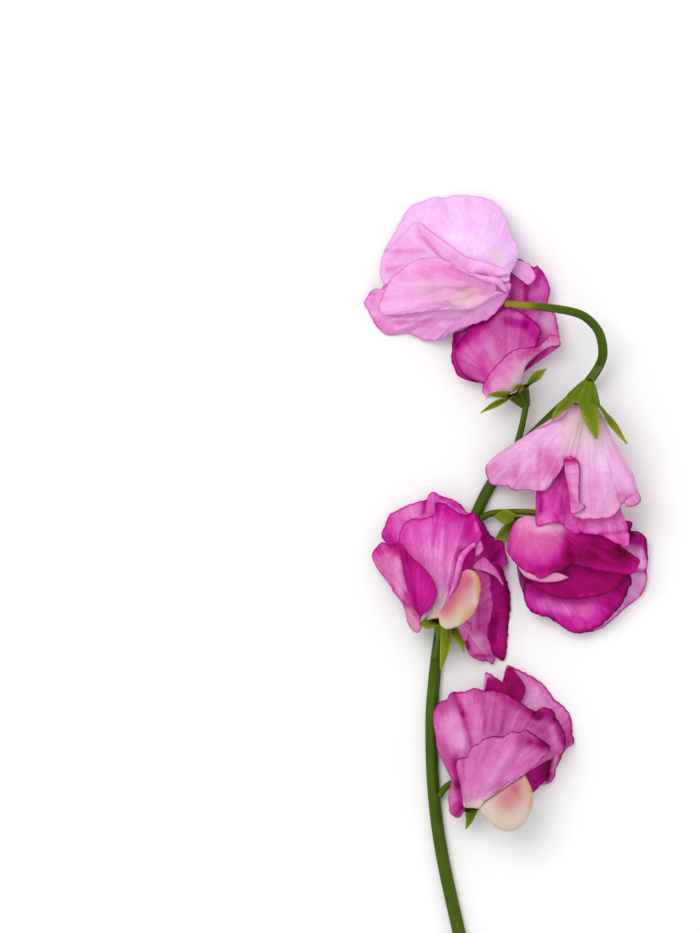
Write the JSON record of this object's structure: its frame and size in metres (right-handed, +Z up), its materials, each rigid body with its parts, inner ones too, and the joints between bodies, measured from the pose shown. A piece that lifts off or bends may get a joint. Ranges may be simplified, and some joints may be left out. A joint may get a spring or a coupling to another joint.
{
  "type": "sweet pea flower spray",
  "caption": "Cut sweet pea spray lying flat: a hooked green stem carrying open pink blooms with ruffled petals, cream keels and green calyces.",
  "frame": {"origin": "centre of the footprint that the lying spray covers, on the surface it lies on", "axes": "+Z up from the surface, +Y along the stem from the cut end towards the tip, +X to the right of the stem seen from above"},
  "size_m": [0.082, 0.236, 0.0256],
  "materials": {
    "stem_green": "satin living green stalk with faint ridges",
    "calyx_green": "matte green sepal skin, darker at the base",
    "petal_deep_pink": "velvety deep magenta petal with darker veins and margin",
    "petal_rose": "soft rose-pink petal, paler at the claw, magenta at the margin",
    "petal_pale_pink": "thin pale pink petal, cream at the claw, with fine veins",
    "petal_lilac": "thin pale lilac petal with fine veins",
    "keel_cream": "waxy cream keel with a pink blush and a tan rim"
  },
  "bodies": {
    "root": {"stem": "stem_green", "pedicel_1": "stem_green", "pedicel_2": "stem_green", "pedicel_3": "stem_green", "pedicel_4": "stem_green", "pedicel_5": "stem_green", "bloom1_calyx": "calyx_green", "bloom2_calyx": "calyx_green", "bloom3_calyx": "calyx_green", "bloom4_calyx": "calyx_green", "bloom5_calyx": "calyx_green", "bloom6_calyx": "calyx_green", "bloom1_back_standard": "petal_pale_pink", "bloom1_back_wing": "petal_deep_pink", "bloom1_keel": "keel_cream", "bloom1_front_standard": "petal_rose", "bloom1_front_wing": "petal_lilac", "bloom2_back_standard": "petal_rose", "bloom2_right_wing": "petal_deep_pink", "bloom2_right_lobe": "petal_pale_pink", "bloom2_standard": "petal_rose", "bloom2_left_wing": "petal_deep_pink", "bloom2_keel": "keel_cream", "bloom3_outer_petal": "petal_pale_pink", "bloom3_lower_lip": "petal_rose", "bloom3_keel": "keel_cream", "bloom3_middle_petal": "petal_deep_pink", "bloom3_standard": "petal_deep_pink", "bloom4_left_wing": "petal_rose", "bloom4_right_wing": "petal_rose", "bloom4_keel": "keel_cream", "bloom4_standard": "petal_pale_pink", "bloom5_back_standard": "petal_deep_pink", "bloom5_cup_wing": "petal_rose", "bloom5_keel": "keel_cream", "bloom5_outer_wing": "petal_pale_pink", "bloom6_lower_petal": "petal_pale_pink", "bloom6_keel": "keel_cream", "bloom6_standard": "petal_lilac", "bloom6_front_wing": "petal_pale_pink"}
  },
  "joints": []
}
